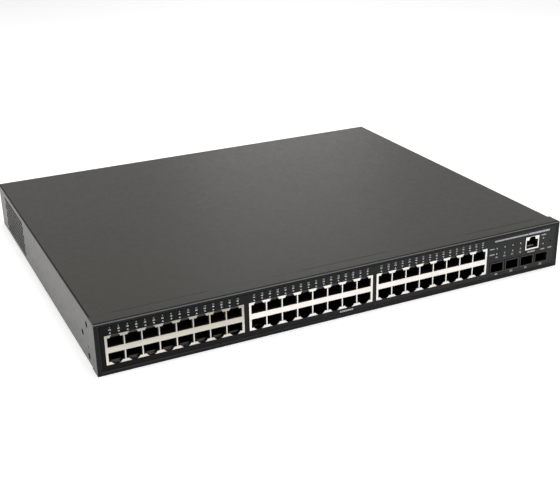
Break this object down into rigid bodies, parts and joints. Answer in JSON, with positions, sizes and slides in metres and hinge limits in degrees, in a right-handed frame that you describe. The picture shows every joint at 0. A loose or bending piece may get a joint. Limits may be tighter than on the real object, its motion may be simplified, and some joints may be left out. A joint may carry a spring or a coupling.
{
  "type": "rackmount network switch",
  "caption": "One-unit rackmount network switch: sheet-steel case with rows of RJ45 jacks, SFP cages, status lights, side fans and a rear power inlet.",
  "frame": {"origin": "on the floor, under the middle of the bounding box", "axes": "front face towards -Y, top towards +Z, and +X to the right of someone who faces the front"},
  "size_m": [0.44, 0.36, 0.0444],
  "materials": {
    "case_paint": "satin powder coat",
    "front_paint": "fine satin powder coat",
    "label_film": "fine textured film",
    "tinned_shield": "bright tin plate",
    "black_plastic": "moulded, satin",
    "cage_metal": "dull nickel plate",
    "zinc_steel": "zinc plate",
    "clear_plastic": "clear moulding",
    "circuit_board": "green solder mask",
    "white_plastic": "moulded, satin",
    "chip_body": "moulded epoxy",
    "black_anodised": "black anodised",
    "plain_aluminium": "mill finish",
    "winding_tape": "polyester tape over ferrite",
    "capacitor_sleeve": "shrink sleeve",
    "copper_winding": "enamelled wire on a ring core"
  },
  "bodies": {
    "switch": {"base_pan": "zinc_steel", "board_standoff_1": "zinc_steel", "board_standoff_2": "zinc_steel", "board_standoff_3": "zinc_steel", "board_standoff_4": "zinc_steel", "bulk_capacitor": "capacitor_sleeve", "console_board": "circuit_board", "console_jack_housing": "black_plastic", "console_jack_shield": "tinned_shield", "cover_screw_1": "zinc_steel", "cover_screw_2": "zinc_steel", "cover_screw_3": "zinc_steel", "earth_screw": "zinc_steel", "fan_frame_1": "black_plastic", "fan_frame_2": "black_plastic", "front_label": "label_film", "front_panel": "front_paint", "jack_housing_1": "black_plastic", "jack_housing_2": "black_plastic", "jack_housing_3": "black_plastic", "jack_shield_1": "tinned_shield", "jack_shield_2": "tinned_shield", "jack_shield_3": "tinned_shield", "line_choke": "copper_winding", "main_board": "circuit_board", "mode_light_pipe": "clear_plastic", "output_capacitor_1": "capacitor_sleeve", "output_capacitor_2": "capacitor_sleeve", "output_capacitor_3": "capacitor_sleeve", "port_light_pipe_1": "clear_plastic", "port_light_pipe_2": "clear_plastic", "port_light_pipe_3": "clear_plastic", "power_board": "circuit_board", "power_heatsink": "plain_aluminium", "power_inlet": "black_plastic", "power_link_socket": "white_plastic", "power_standoff_1": "zinc_steel", "power_standoff_2": "zinc_steel", "power_standoff_3": "zinc_steel", "power_standoff_4": "zinc_steel", "processor_chip": "chip_body", "processor_heatsink": "black_anodised", "rear_panel": "case_paint", "reset_switch": "black_plastic", "sfp_cage_1": "cage_metal", "sfp_cage_2": "cage_metal", "sfp_cage_3": "cage_metal", "sfp_cage_4": "cage_metal", "status_light_pipe": "clear_plastic", "switch_chip_1": "chip_body", "switch_chip_2": "chip_body", "switch_heatsink_1": "black_anodised", "switch_heatsink_2": "black_anodised", "top_cover": "case_paint", "transformer": "winding_tape"},
    "rotor_1": {"fan_rotor_1": "black_plastic"},
    "rotor_2": {"fan_rotor_2": "black_plastic"},
    "reset_key": {"reset_button": "white_plastic"}
  },
  "joints": [
    {"name": "fan_1_spin", "type": "hinge", "parent": "switch", "child": "rotor_1", "pos_m": [-0.206, 0.092, 0.0216], "axis": [1, 0, 0], "continuous": true},
    {"name": "fan_2_spin", "type": "hinge", "parent": "switch", "child": "rotor_2", "pos_m": [-0.206, 0.138, 0.0216], "axis": [1, 0, 0], "continuous": true},
    {"name": "reset_press", "type": "slide", "parent": "switch", "child": "reset_key", "axis": [0, 1, 0], "range_m": [0, 0.0004], "stiffness_N_per_m": 1500, "springref_m": -0.0001}
  ]
}
